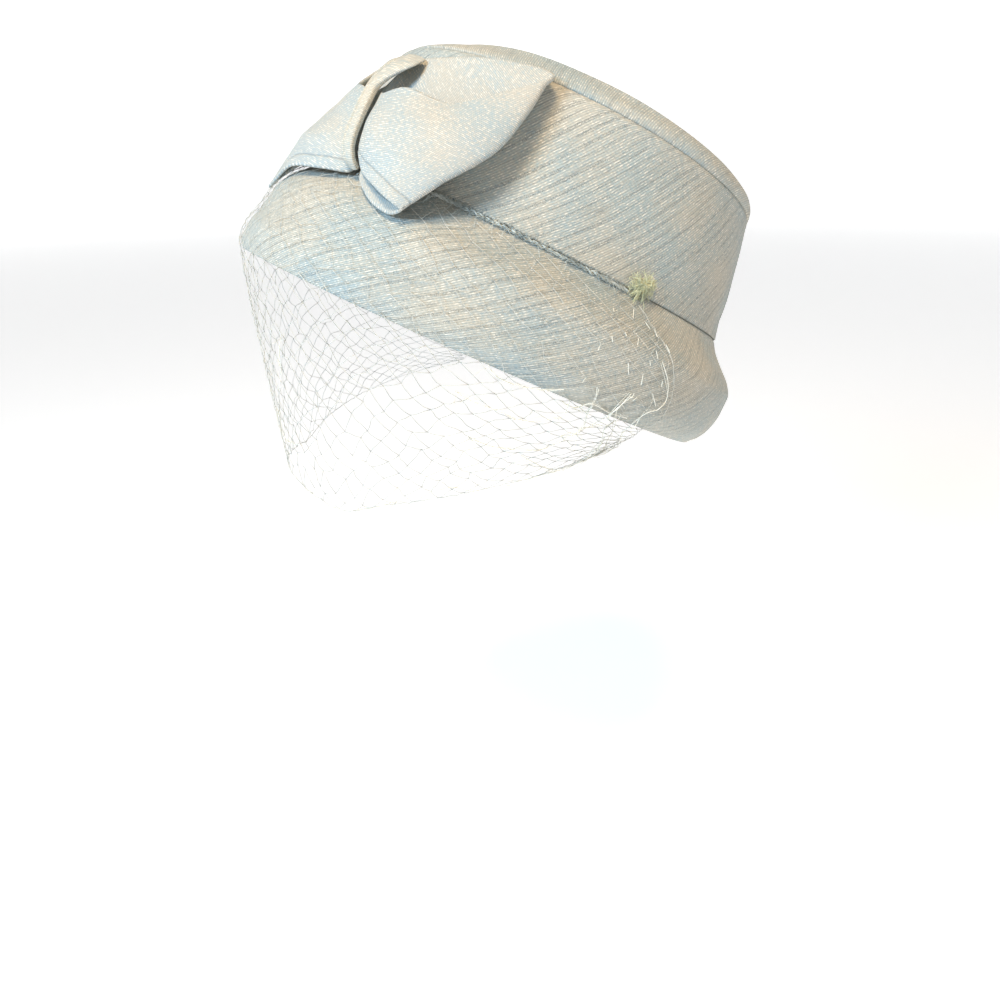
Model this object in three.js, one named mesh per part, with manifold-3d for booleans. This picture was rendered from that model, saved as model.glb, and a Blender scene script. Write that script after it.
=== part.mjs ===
// Pillbox hat with a turned-down brim, a flat folded bow and a short net veil, as worn.
// Millimetres, +Z up. The front faces -Y and the wearer's left is +X.
// The origin is the middle of the head opening, in the plane of the brim's lower edge.
import * as THREE from 'three';
import Module from 'manifold-3d';
import { mergeVertices } from 'three/addons/utils/BufferGeometryUtils.js';

const wasm = await Module();
wasm.setup();

// Driving dimensions
const WORN_TILT_DEG = 27; // the hat sits on the back of the head, leaning back
const SEAM_FRONT = 103; // reach of the crown's seam from the origin, to the front
const SEAM_BACK = 105;
const SEAM_SIDE = 84;
const SEAM_DIP = 2.4; // how far the seam droops at the ears
const BRIM_DEPTH = 51.4; // seam down to the brim's edge
const BRIM_WALL = 2.4;
const FLARE_FRONT = 24.5; // how far the brim stands out past the seam
const FLARE_BACK = 18;
const FLARE_SIDE = 20.6;
const CROWN_HEIGHT = 61; // seam up to the edge of the flat top
const CROWN_WALL = 1.8;
const TAPER_FRONT = 37; // how far the crown draws in up to that edge
const TAPER_BACK = 25.1;
const TAPER_SIDE = 13;
const TIP_DOME = 4; // rise of the top's middle over its edge
const TIP_SEAM_SHARE = 0.852; // height of the tip's seam, as a share of the crown
const GAP = 0.3; // clearance between pieces that touch
const CORD_DIAMETER = 2.2;
const CORD_DROP_SHARE = 0.065; // place of the cord below the seam, as a share of the brim
const CORD_SHORT_DEG = 3; // how far short of the ties it ends
const TUFT_TURN_DEG = 94.5; // where the veil's ends are tied, from the front
const TUFT_RISE = 0.35; // middle of a tuft above the seam
const TUFT_STAND = 2.1; // and in front of the crown
const TUFT_HEAD_RADIUS = 3.1;
const TUFT_HEAD_FLAT = 0.7; // its thickness over its width
const TUFT_LOCKS = 7;
const LOCK_RADIUS = 1.4;
const LOCK_LONG = 6.8;
const LOCK_SHORT = 5.5;
const LOCK_ROOT = 0.9; // where a lock starts, from the middle of its tuft
const LOCK_LIFT_DEG = 14;
const BOW_TURN_DEG = 23.5; // middle of the bow, towards the wearer's left
const BOW_RADIUS = 98.5; // middle radius of the crown under the bow
const BOW_RISE = CROWN_HEIGHT * 0.869; // seam up to the highest edge of the bow
const BOW_STAND = 20; // how far the bow stands off the crown
const LOOP_REACH = 57; // knot to the tip of a loop, along the crown
const LOOP_WALL = 1.6;
const KNOT_WIDTH = 8;
const KNOT_LEAN = 20; // how far the top of the bow's middle leans to the wearer's right
const KNOT_DEPTH = 3;
const VEIL_DROP = 100; // hang of the net below the brim, at the front
const VEIL_DRAW = 9; // how far its lower edge draws in to the face
const VEIL_THREAD = 1.8; // width of a strand of the coarse net
const VEIL_THICK = 1.1;
const VEIL_COLUMNS = 10;
const VEIL_BRIM_ROWS = 2; // rows of diamonds lying on the brim
const VEIL_HANG_ROWS = 3; // rows of diamonds hanging free
const VEIL_START_SHARE = 0.125; // its top border below the seam, as a share of the brim
const VEIL_CLEAR = 3; // middle of the net over the brim's face
const VEIL_SIDE_LIFT = 2.6; // how much further its two side edges stand off

const AROUND = 56; // facets round the head

// Sections of the brim, from the seam down to its edge.
// drop is a share of BRIM_DEPTH, the others are shares of the three flares.
const BRIM_SECTIONS = [
  { drop: 0.108, front: 0.147, back: 0.193, side: 0.17 },
  { drop: 0.225, front: 0.388, back: 0.513, side: 0.485 },
  { drop: 0.342, front: 0.62, back: 0.822, side: 0.801 },
  { drop: 0.46, front: 0.75, back: 0.99, side: 0.955 },
  { drop: 0.64, front: 0.86, back: 1, side: 0.99 },
  { drop: 0.802, front: 0.976, back: 0.888, side: 1 },
  { drop: 0.917, front: 1, back: 0.736, side: 0.917 },
  { drop: 1, front: 0.951, back: 0.487, side: 0.738 },
];

// Sections of the crown, from the seam up to the edge of the top.
// rise is a share of CROWN_HEIGHT, the next three are shares of the tapers,
// and pitch is how steeply a section climbs towards the back.
const CROWN_SECTIONS = [
  { rise: 0, front: 0, back: 0, side: 0, pitch: 0.009 },
  { rise: 0.14, front: 0.07, back: 0.084, side: 0.085, pitch: 0.021 },
  { rise: 0.29, front: 0.126, back: 0.151, side: 0.154, pitch: 0.031 },
  { rise: 0.542, front: 0.201, back: 0.307, side: 0.308, pitch: 0.024 },
  { rise: 0.761, front: 0.285, back: 0.474, side: 0.431, pitch: 0.017 },
  { rise: TIP_SEAM_SHARE, front: 0.383, back: 0.534, side: 0.462, pitch: 0.016 },
  { rise: 0.913, front: 0.53, back: 0.586, side: 0.492, pitch: 0.016 },
  { rise: 0.965, front: 0.75, back: 0.745, side: 0.669, pitch: 0.001 },
  { rise: 1, front: 1, back: 1, side: 1, pitch: -0.028 },
];

// Rings of the flat top, as shares of its edge and of TIP_DOME
const DOME_RINGS = [
  { spread: 0.7, lift: 0.55 },
  { spread: 0.35, lift: 0.9 },
];

// The bow's loops, each as three cuts across it: top edge, middle and hem. A cut runs
// from the knot along the front layer to the fold, and back along the layer behind.
// turn is a share of LOOP_REACH, rise of BOW_RISE and stand of BOW_STAND.
const LEFT_LOOP = [
  [
    { turn: 0.065, rise: 0.44, stand: 0.46 },
    { turn: 0.31, rise: 0.485, stand: 0.68 },
    { turn: 0.6, rise: 0.49, stand: 0.68 },
    { turn: 0.82, rise: 0.69, stand: 0.5 },
    { turn: 0.98, rise: 0.95, stand: 0.32 },
    { turn: 0.9, rise: 0.98, stand: 0.17 },
    { turn: 0.6, rise: 0.93, stand: 0.085 },
    { turn: 0.29, rise: 0.83, stand: 0.085 },
    { turn: 0.065, rise: 0.74, stand: 0.12 },
  ],
  [
    { turn: 0.065, rise: 0.18, stand: 0.56 },
    { turn: 0.25, rise: 0.19, stand: 0.86 },
    { turn: 0.55, rise: 0.22, stand: 0.94 },
    { turn: 0.78, rise: 0.28, stand: 0.86 },
    { turn: 0.92, rise: 0.33, stand: 0.66 },
    { turn: 0.84, rise: 0.36, stand: 0.36 },
    { turn: 0.56, rise: 0.36, stand: 0.14 },
    { turn: 0.28, rise: 0.34, stand: 0.12 },
    { turn: 0.065, rise: 0.32, stand: 0.14 },
  ],
  [
    { turn: 0.065, rise: -0.06, stand: 0.44 },
    { turn: 0.2, rise: -0.14, stand: 0.74 },
    { turn: 0.36, rise: -0.2, stand: 0.98 },
    { turn: 0.49, rise: -0.25, stand: 1.06 },
    { turn: 0.58, rise: -0.28, stand: 1.02 },
    { turn: 0.5, rise: -0.275, stand: 0.9 },
    { turn: 0.34, rise: -0.23, stand: 0.76 },
    { turn: 0.18, rise: -0.145, stand: 0.61 },
    { turn: 0.065, rise: -0.075, stand: 0.36 },
  ],
];
const RIGHT_LOOP = [
  [
    { turn: 0.065, rise: 0.44, stand: 0.46 },
    { turn: 0.31, rise: 0.47, stand: 0.52 },
    { turn: 0.6, rise: 0.48, stand: 0.44 },
    { turn: 0.82, rise: 0.59, stand: 0.3 },
    { turn: 0.98, rise: 0.76, stand: 0.15 },
    { turn: 0.9, rise: 0.81, stand: 0.09 },
    { turn: 0.6, rise: 0.81, stand: 0.085 },
    { turn: 0.29, rise: 0.78, stand: 0.085 },
    { turn: 0.065, rise: 0.68, stand: 0.11 },
  ],
  [
    { turn: 0.065, rise: 0.18, stand: 0.54 },
    { turn: 0.25, rise: 0.18, stand: 0.68 },
    { turn: 0.55, rise: 0.19, stand: 0.67 },
    { turn: 0.82, rise: 0.21, stand: 0.62 },
    { turn: 1, rise: 0.24, stand: 0.54 },
    { turn: 0.9, rise: 0.3, stand: 0.3 },
    { turn: 0.56, rise: 0.34, stand: 0.14 },
    { turn: 0.28, rise: 0.34, stand: 0.12 },
    { turn: 0.065, rise: 0.32, stand: 0.14 },
  ],
  [
    { turn: 0.065, rise: -0.08, stand: 0.4 },
    { turn: 0.25, rise: -0.14, stand: 0.64 },
    { turn: 0.58, rise: -0.19, stand: 0.85 },
    { turn: 0.78, rise: -0.27, stand: 0.94 },
    { turn: 0.92, rise: -0.3, stand: 0.97 },
    { turn: 0.78, rise: -0.25, stand: 0.76 },
    { turn: 0.58, rise: -0.16, stand: 0.58 },
    { turn: 0.25, rise: -0.09, stand: 0.42 },
    { turn: 0.065, rise: -0.03, stand: 0.28 },
  ],
];
const LOOP_CUTS = 6; // cuts across the finished loop
const LOOP_STEPS = 26; // facets round each cut

// Run of the knot over the bow, from below the seam to its top
const KNOT_RUN = [
  { rise: -0.12, stand: 0.5 },
  { rise: -0.06, stand: 0.64 },
  { rise: 0.1, stand: 0.72 },
  { rise: 0.3, stand: 0.69 },
  { rise: 0.5, stand: 0.59 },
  { rise: 0.67, stand: 0.42 },
  { rise: 0.78, stand: 0.2 },
];

// Pleats of the knot, across its width: side is a share of KNOT_WIDTH, depth of KNOT_DEPTH
const KNOT_PLEATS = [
  { side: -0.5, depth: -0.2 },
  { side: -0.36, depth: 0.34 },
  { side: -0.2, depth: 0.05 },
  { side: 0, depth: 0.5 },
  { side: 0.2, depth: 0.05 },
  { side: 0.36, depth: 0.34 },
  { side: 0.5, depth: -0.2 },
  { side: 0.2, depth: -0.5 },
  { side: -0.2, depth: -0.5 },
];
const KNOT_CUTS = 13;

// Hang of the net round the head: at is a share of the way from front to tie
const VEIL_HANG = [
  { at: 0, drop: 1 },
  { at: 0.28, drop: 0.97 },
  { at: 0.45, drop: 0.8 },
  { at: 0.64, drop: 0.58 },
  { at: 0.84, drop: 0.34 },
  { at: 1, drop: 0.15 },
];

// Half width of the net round the head, from the seam, over the brim to the lower edge.
// clear is a share of VEIL_CLEAR.
const VEIL_SPREAD = [
  { along: 0, turnDeg: TUFT_TURN_DEG, clear: 0.75 },
  { along: 0.1, turnDeg: TUFT_TURN_DEG + 6, clear: 0.95 },
  { along: 0.2, turnDeg: TUFT_TURN_DEG + 11, clear: 1.05 },
  { along: 0.3, turnDeg: TUFT_TURN_DEG + 14, clear: 1 },
  { along: 0.4, turnDeg: TUFT_TURN_DEG + 15, clear: 0.95 },
  { along: 1, turnDeg: TUFT_TURN_DEG + 8, clear: 0.8 },
];

const radians = THREE.MathUtils.degToRad;
const lerp = THREE.MathUtils.lerp;

// Reads one column of a table between its rows, in a straight line
function readTable(table, key, at, column) {
  const last = table.length - 2;
  let row = table.findIndex((entry) => entry[key] > at) - 1;
  if (row < 0) row = at <= table[0][key] ? 0 : last;
  const from = table[row];
  const to = table[row + 1];
  const share = THREE.MathUtils.clamp((at - from[key]) / (to[key] - from[key]), 0, 1);
  return lerp(from[column], to[column], share);
}

// Reads one column of a table along a smooth curve, with the rows evenly spaced
function readSmooth(table, share, column) {
  const curve = new THREE.SplineCurve(table.map((row) => new THREE.Vector2(row[column], 0)));
  return curve.getPoint(share).x;
}

// Point on an oval that reaches front, back and side from the origin
function ovalPoint(front, back, side, turn, z) {
  const reach = (front + back) / 2;
  const y = (back - front) / 2 - reach * Math.cos(turn);
  return new THREE.Vector3(side * Math.sin(turn), y, z);
}

// Droop of a section near the seam, deepest at the ears
const seamDip = (turn, away) => SEAM_DIP * Math.sin(turn) ** 2 * (1 - away) ** 2;

function crownSection(row, turn) {
  const point = ovalPoint(
    SEAM_FRONT - TAPER_FRONT * row.front,
    SEAM_BACK - TAPER_BACK * row.back,
    SEAM_SIDE - TAPER_SIDE * row.side,
    turn,
    BRIM_DEPTH + CROWN_HEIGHT * row.rise - seamDip(turn, row.rise),
  );
  point.z += row.pitch * point.y;
  return point;
}

function brimSection(row, turn) {
  return ovalPoint(
    SEAM_FRONT + FLARE_FRONT * row.front,
    SEAM_BACK + FLARE_BACK * row.back,
    SEAM_SIDE + FLARE_SIDE * row.side,
    turn,
    BRIM_DEPTH * (1 - row.drop) - seamDip(turn, row.drop),
  );
}

function ringOf(section) {
  const ring = [];
  for (let i = 0; i < AROUND; i += 1) ring.push(section((2 * Math.PI * i) / AROUND));
  return ring;
}

// Moves every point of a stack of rings along the surface's normal
function offsetRings(rings, distance) {
  const count = rings[0].length;
  return rings.map((ring, r) => {
    const above = rings[Math.max(r - 1, 0)];
    const below = rings[Math.min(r + 1, rings.length - 1)];
    return ring.map((point, c) => {
      const across = ring[(c + 1) % count].clone().sub(ring[(c + count - 1) % count]);
      const along = below[c].clone().sub(above[c]);
      const normal = across.cross(along).normalize();
      return point.clone().addScaledVector(normal, distance);
    });
  });
}

// Closed body through a list of rings. A ring of one point is a pole; without poles
// the last ring joins the first, which makes a hollow band.
function bodyOfRings(rings) {
  const points = rings.flat();
  const starts = rings.map((ring, r) => rings.slice(0, r).reduce((sum, k) => sum + k.length, 0));
  const index = [];
  const band = (a, b) => {
    const count = Math.max(rings[a].length, rings[b].length);
    for (let c = 0; c < count; c += 1) {
      const next = (c + 1) % count;
      const a0 = starts[a] + (rings[a].length > 1 ? c : 0);
      const a1 = starts[a] + (rings[a].length > 1 ? next : 0);
      const b0 = starts[b] + (rings[b].length > 1 ? c : 0);
      const b1 = starts[b] + (rings[b].length > 1 ? next : 0);
      if (a0 !== a1) index.push(a0, b1, a1);
      if (b0 !== b1) index.push(a0, b0, b1);
    }
  };
  for (let r = 0; r + 1 < rings.length; r += 1) band(r, r + 1);
  if (rings[0].length > 1) band(rings.length - 1, 0);
  return facedGeometry(points, index);
}

// Geometry whose faces point out, whichever way the list of triangles runs
function facedGeometry(points, index) {
  let volume = 0;
  for (let i = 0; i < index.length; i += 3) {
    const [a, b, c] = [points[index[i]], points[index[i + 1]], points[index[i + 2]]];
    volume += a.dot(b.clone().cross(c));
  }
  if (volume < 0) index.reverse();
  const geometry = new THREE.BufferGeometry();
  geometry.setFromPoints(points);
  geometry.setIndex(index);
  return geometry;
}

function toSolid(geometry) {
  const plain = geometry.clone();
  plain.deleteAttribute('normal');
  plain.deleteAttribute('uv');
  const merged = mergeVertices(plain, 0.0001);
  return new wasm.Manifold(
    new wasm.Mesh({
      numProp: 3,
      vertProperties: new Float32Array(merged.attributes.position.array),
      triVerts: new Uint32Array(merged.index.array),
    }),
  );
}

function toGeometry(solid) {
  const mesh = solid.getMesh();
  const geometry = new THREE.BufferGeometry();
  geometry.setAttribute('position', new THREE.BufferAttribute(mesh.vertProperties.slice(), 3));
  geometry.setIndex(new THREE.BufferAttribute(mesh.triVerts.slice(), 1));
  return geometry;
}

// Outer and inner rings of the whole crown, which its side and its tip share
const crownSkin = CROWN_SECTIONS.map((row) => ringOf((turn) => crownSection(row, turn)));
const crownLining = offsetRings(crownSkin, -CROWN_WALL);
const tipSeam = CROWN_SECTIONS.findIndex((row) => row.rise === TIP_SEAM_SHARE);

// Crown side: a tapering band, from the seam up to the tip's seam
function crownSideGeometry() {
  const outer = crownSkin.slice(0, tipSeam + 1);
  const inner = crownLining.slice(0, tipSeam + 1);
  return bodyOfRings([...outer, ...inner.reverse()]);
}

// Crown tip: the flat top, turned down over the shoulder to meet the side
function crownTipGeometry() {
  const raised = (ring) => ring.map((point) => point.clone().setZ(point.z + GAP));
  const outer = crownSkin.slice(tipSeam);
  const inner = crownLining.slice(tipSeam);
  outer[0] = raised(outer[0]);
  inner[0] = raised(inner[0]);
  const edge = outer[outer.length - 1];
  const middle = edge.reduce((sum, point) => sum.add(point), new THREE.Vector3());
  middle.divideScalar(edge.length);
  const dome = DOME_RINGS.map(({ spread, lift }) => edge.map((point) => {
    const place = middle.clone().lerp(point, spread);
    return place.setZ(place.z + TIP_DOME * lift);
  }));
  const domeInside = dome.map((ring) => ring.map((point) => point.clone().setZ(point.z - CROWN_WALL)));
  const top = middle.clone().setZ(middle.z + TIP_DOME);
  const under = top.clone().setZ(top.z - CROWN_WALL);
  return bodyOfRings([[top], ...[...outer, ...dome].reverse(), ...inner, ...domeInside, [under]]);
}

// Brim: a flange inside the crown, a flared band, and an edge that rolls in at the back
function brimGeometry() {
  const [tucked, flange] = offsetRings(crownSkin, -CROWN_WALL - GAP);
  tucked.forEach((point) => point.setZ(point.z - GAP));
  const face = BRIM_SECTIONS.map((row) => ringOf((turn) => brimSection(row, turn)));
  const outer = [flange, tucked, ...face].reverse();
  return bodyOfRings([...outer, ...offsetRings(outer, -BRIM_WALL).reverse()]);
}

// Point over the brim's outer face: drop from the seam, turn round the head
function brimFace(drop, turn, stand) {
  const inset = CROWN_WALL + GAP;
  const tucked = {
    drop: 0,
    front: -inset / FLARE_FRONT,
    back: -inset / FLARE_BACK,
    side: -inset / FLARE_SIDE,
  };
  const rows = [tucked, ...BRIM_SECTIONS];
  const at = (share) => {
    const row = { drop: share };
    ['front', 'back', 'side'].forEach((column) => {
      row[column] = readTable(rows, 'drop', share, column);
    });
    return row;
  };
  const point = brimSection(at(drop), turn);
  const step = 0.02;
  const along = brimSection(at(Math.min(drop + step, 1)), turn);
  along.sub(brimSection(at(Math.max(drop - step, 0)), turn));
  const across = brimSection(at(drop), turn + step).sub(brimSection(at(drop), turn - step));
  const normal = along.cross(across).normalize();
  return point.addScaledVector(normal, stand);
}

// Veil cord: the net's gathered edge, laid along the seam from tie to tie
function veilCordGeometry() {
  const radius = CORD_DIAMETER / 2;
  const steps = 60;
  const reach = radians(TUFT_TURN_DEG - CORD_SHORT_DEG);
  const route = [];
  for (let i = 0; i <= steps; i += 1) {
    const turn = lerp(-reach, reach, i / steps);
    route.push(brimFace(CORD_DROP_SHARE, turn, radius + GAP));
  }
  const section = new THREE.Shape();
  section.absarc(0, 0, radius, 0, 2 * Math.PI);
  return new THREE.ExtrudeGeometry(section, {
    steps,
    curveSegments: 4,
    bevelEnabled: false,
    extrudePath: new THREE.CatmullRomCurve3(route),
  });
}

// Point over the crown: z above the rim, turn round the head, stand off its face
function crownFace(z, turn, stand) {
  const rise = THREE.MathUtils.clamp((z - BRIM_DEPTH) / CROWN_HEIGHT, 0, 1);
  const taper = (column) => readTable(CROWN_SECTIONS, 'rise', rise, column);
  return ovalPoint(
    SEAM_FRONT - TAPER_FRONT * taper('front') + stand,
    SEAM_BACK - TAPER_BACK * taper('back') + stand,
    SEAM_SIDE - TAPER_SIDE * taper('side') + stand,
    turn,
    z,
  );
}

// Point of the bow: turn is a share of the loops' reach, to the wearer's left
function bowPoint(turn, rise, stand, aside = 0) {
  const along = LOOP_REACH * turn - KNOT_LEAN * rise * (1 - Math.abs(turn)) + aside;
  const angle = radians(BOW_TURN_DEG) + along / BOW_RADIUS;
  return crownFace(BRIM_DEPTH + BOW_RISE * rise, angle, BOW_STAND * stand);
}

// Bow loop: a folded tube of cloth, open at its top edge and at its hem
function bowLoopGeometry(sections, side) {
  const cuts = [];
  for (let k = 0; k < LOOP_CUTS; k += 1) {
    const share = k / (LOOP_CUTS - 1);
    const nodes = sections[0].map((unused, n) => {
      const column = sections.map((section) => section[n]);
      const turn = readSmooth(column, share, 'turn');
      const rise = readSmooth(column, share, 'rise');
      const stand = readSmooth(column, share, 'stand');
      return bowPoint(side * turn, rise, stand);
    });
    const curve = new THREE.CatmullRomCurve3(nodes, true, 'centripetal');
    cuts.push(curve.getPoints(LOOP_STEPS).slice(0, -1));
  }
  const half = LOOP_WALL / 2;
  return bodyOfRings([...offsetRings(cuts, half), ...offsetRings(cuts, -half).reverse()]);
}

// Bow knot: a pleated band that runs over the middle of the bow
function bowKnotGeometry() {
  const run = new THREE.SplineCurve(
    KNOT_RUN.map(({ rise, stand }) => new THREE.Vector2(rise * BOW_RISE, stand * BOW_STAND)),
  );
  const knotPoint = (share, side, depth) => {
    const at = run.getPoint(share);
    const heading = run.getTangent(share);
    const rise = (at.x - heading.y * depth * KNOT_DEPTH) / BOW_RISE;
    const stand = (at.y + heading.x * depth * KNOT_DEPTH) / BOW_STAND;
    return bowPoint(0, rise, stand, side * KNOT_WIDTH);
  };
  const rings = [];
  for (let k = 0; k < KNOT_CUTS; k += 1) {
    const share = k / (KNOT_CUTS - 1);
    rings.push(KNOT_PLEATS.map(({ side, depth }) => knotPoint(share, side, depth)));
  }
  return bodyOfRings([[knotPoint(0, 0, 0)], ...rings, [knotPoint(1, 0, 0)]]);
}

// Point of the net: share round the head from -1 to 1, row of half diamonds from the seam
function veilPoint(share, row) {
  const brimRows = 2 * VEIL_BRIM_ROWS;
  const rows = 2 * (VEIL_BRIM_ROWS + VEIL_HANG_ROWS);
  const turn = share * radians(readTable(VEIL_SPREAD, 'along', row / rows, 'turnDeg'));
  const clear = VEIL_CLEAR * readTable(VEIL_SPREAD, 'along', row / rows, 'clear');
  const stand = clear + VEIL_SIDE_LIFT * share ** 8;
  const down = lerp(VEIL_START_SHARE, 1, row / brimRows);
  if (row <= brimRows) return brimFace(down, turn, stand);
  const fall = (row - brimRows) / (rows - brimRows);
  const drop = VEIL_DROP * readTable(VEIL_HANG, 'at', Math.abs(share), 'drop');
  const point = brimFace(1, turn, stand);
  const tilt = radians(WORN_TILT_DEG);
  const out = new THREE.Vector3(point.x, point.y, 0).normalize();
  point.addScaledVector(new THREE.Vector3(0, Math.sin(tilt), -Math.cos(tilt)), drop * fall);
  return point.addScaledVector(out, -VEIL_DRAW * fall);
}

// Veil net: a curved sheet of diamonds, cut through inside each one
function veilNetGeometry() {
  const columns = 2 * VEIL_COLUMNS;
  const rows = 2 * (VEIL_BRIM_ROWS + VEIL_HANG_ROWS);
  const points = [];
  const index = [];
  const place = (i, j) => veilPoint((2 * i) / columns - 1, j);
  const step = 0.2;
  const normalAt = (i, j) => {
    const across = place(i + step, j).sub(place(i - step, j));
    const down = place(i, Math.min(j + step, rows)).sub(place(i, Math.max(j - step, 0)));
    return down.cross(across).normalize();
  };
  const addPair = (point, normal) => {
    points.push(point.clone().addScaledVector(normal, VEIL_THICK / 2));
    points.push(point.clone().addScaledVector(normal, -VEIL_THICK / 2));
    return points.length - 2;
  };
  const quad = (a, b, c, d) => index.push(a, b, c, a, c, d);
  const knots = new Map();
  const knot = (i, j) => {
    const key = `${i},${j}`;
    if (!knots.has(key)) knots.set(key, addPair(place(i, j), normalAt(i, j)));
    return knots.get(key);
  };
  const cell = (corners, edges) => {
    const places = corners.map(([i, j]) => place(i, j));
    const middle = places.reduce((sum, p) => sum.add(p), new THREE.Vector3());
    middle.divideScalar(places.length);
    let inradius = Infinity;
    places.forEach((from, k) => {
      const side = places[(k + 1) % places.length].clone().sub(from);
      const area = side.clone().cross(middle.clone().sub(from)).length();
      inradius = Math.min(inradius, area / side.length());
    });
    const shrink = 1 - VEIL_THREAD / 2 / inradius;
    const holes = corners.map(([i, j], k) => (
      addPair(middle.clone().lerp(places[k], shrink), normalAt(i, j))
    ));
    corners.forEach(([i, j], k) => {
      const next = (k + 1) % corners.length;
      const a = knot(i, j);
      const b = knot(...corners[next]);
      const [h, g] = [holes[k], holes[next]];
      quad(a, b, g, h);
      quad(b + 1, a + 1, h + 1, g + 1);
      quad(h, g, g + 1, h + 1);
      if (edges[k]) quad(b, a, a + 1, b + 1);
    });
  };
  for (let i = 0; i <= columns; i += 1) {
    for (let j = 0; j <= rows; j += 1) {
      if ((i + j) % 2 === 1) {
        const around = [[i, j - 1], [i + 1, j], [i, j + 1], [i - 1, j]];
        const inside = ([a, b]) => a >= 0 && a <= columns && b >= 0 && b <= rows;
        const corners = around.filter(inside);
        const onEdge = (a, b) => (
          (a[0] === b[0] && (a[0] === 0 || a[0] === columns))
          || (a[1] === b[1] && (a[1] === 0 || a[1] === rows))
        );
        const edges = corners.map((corner, k) => onEdge(corner, corners[(k + 1) % corners.length]));
        cell(corners, edges);
      }
    }
  }
  return facedGeometry(points, index);
}

// Veil tuft: the gathered threads at one end of the net, tied over the seam
function veilTuftGeometry(side) {
  const head = new THREE.SphereGeometry(TUFT_HEAD_RADIUS, 8, 6);
  head.scale(1, 1, TUFT_HEAD_FLAT);
  let solid = toSolid(head);
  for (let k = 0; k < TUFT_LOCKS; k += 1) {
    const length = k % 2 ? LOCK_LONG : LOCK_SHORT;
    const lock = new THREE.ConeGeometry(LOCK_RADIUS, length, 5);
    lock.translate(0, LOCK_ROOT + length / 2, 0);
    lock.rotateX(radians(LOCK_LIFT_DEG));
    lock.rotateZ((2 * Math.PI * k) / TUFT_LOCKS);
    solid = solid.add(toSolid(lock));
  }
  const geometry = toGeometry(solid);
  const turn = side * radians(TUFT_TURN_DEG);
  const seat = crownFace(BRIM_DEPTH + TUFT_RISE, turn, 0);
  const out = new THREE.Vector3(seat.x, seat.y, 0).normalize();
  const along = new THREE.Vector3(0, 0, 1).cross(out);
  const frame = new THREE.Matrix4().makeBasis(along, new THREE.Vector3(0, 0, 1), out);
  geometry.applyMatrix4(frame);
  seat.addScaledVector(out, TUFT_STAND);
  geometry.translate(seat.x, seat.y, seat.z);
  return geometry;
}

const hat = new THREE.Group();
hat.rotation.x = -radians(WORN_TILT_DEG);

function addPiece(name, geometry, color, roughness) {
  const material = new THREE.MeshStandardMaterial({ color, roughness, metalness: 0 });
  const mesh = new THREE.Mesh(geometry, material);
  mesh.name = name;
  hat.add(mesh);
}

addPiece('crown_side', crownSideGeometry(), 0xb9c6c4, 0.6);
addPiece('crown_tip', crownTipGeometry(), 0xc3cbc4, 0.6);
addPiece('brim', brimGeometry(), 0xb4c3c2, 0.6);
addPiece('veil_cord', veilCordGeometry(), 0x8fa3a0, 0.8);
addPiece('bow_loop_left', bowLoopGeometry(LEFT_LOOP, 1), 0xc2cdca, 0.55);
addPiece('bow_loop_right', bowLoopGeometry(RIGHT_LOOP, -1), 0xb2c6cd, 0.55);
addPiece('bow_knot', bowKnotGeometry(), 0xaac0c8, 0.55);
addPiece('veil_net', veilNetGeometry(), 0xd9d8c2, 0.8);
addPiece('veil_tuft_left', veilTuftGeometry(1), 0xcfd3ad, 0.85);
addPiece('veil_tuft_right', veilTuftGeometry(-1), 0xcfd3ad, 0.85);

const group = new THREE.Group();
group.add(hat);
export default group;
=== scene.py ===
"""Looks of the pillbox hat: woven crown and brim, folded bow, knot, veil net, cord and thread tufts.
Everything is in metres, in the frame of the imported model. Shapes are worked out in the hat's own
frame in millimetres, with the brim's edge at z = 0, and then leant back as the hat is worn."""

import bmesh
import bpy
import numpy as np
from mathutils import Matrix, Vector


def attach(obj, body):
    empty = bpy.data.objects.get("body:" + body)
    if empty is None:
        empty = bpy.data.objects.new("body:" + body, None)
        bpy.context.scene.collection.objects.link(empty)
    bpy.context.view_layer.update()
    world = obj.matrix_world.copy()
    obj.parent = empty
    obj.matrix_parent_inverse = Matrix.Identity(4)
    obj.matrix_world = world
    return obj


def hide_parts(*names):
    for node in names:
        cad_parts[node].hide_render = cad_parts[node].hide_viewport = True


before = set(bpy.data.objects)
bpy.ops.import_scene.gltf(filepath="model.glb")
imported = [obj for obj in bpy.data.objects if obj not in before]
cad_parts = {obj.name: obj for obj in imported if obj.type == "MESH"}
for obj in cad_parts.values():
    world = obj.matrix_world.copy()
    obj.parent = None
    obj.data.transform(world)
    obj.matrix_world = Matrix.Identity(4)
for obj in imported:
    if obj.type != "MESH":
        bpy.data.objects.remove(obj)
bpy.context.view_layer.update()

LEVEL = np.array([1, 1, 0])  # keeps the level part of a direction

# Named sizes, as in the model's source: millimetres, shares of a named size, or radians for turns
WORN_TILT = np.radians(27.0)
SEAM = np.array([103.0, 105.0, 84.0])  # front, back, side
FLARE = np.array([24.5, 18.0, 20.6])
TAPER = np.array([37.0, 25.1, 13.0])
SEAM_DIP, BRIM_DEPTH, CROWN_HEIGHT = 2.4, 51.4, 61.0
BRIM_WALL, CROWN_WALL, GAP, TIP_DOME = 2.4, 1.8, 0.3, 4.0
TIP_SEAM = 0.852
TUFT_TURN = np.radians(94.5)
BOW_TURN, BOW_RADIUS, BOW_RISE, BOW_STAND = np.radians(23.5), 98.5, 53.009, 20.0
LOOP_REACH, LOOP_WALL, KNOT_WIDTH, KNOT_LEAN, KNOT_DEPTH = 57.0, 1.3, 8.0, 20.0, 3.0
VEIL_DROP, VEIL_DRAW, VEIL_START = 100.0, 9.0, 0.125
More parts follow.
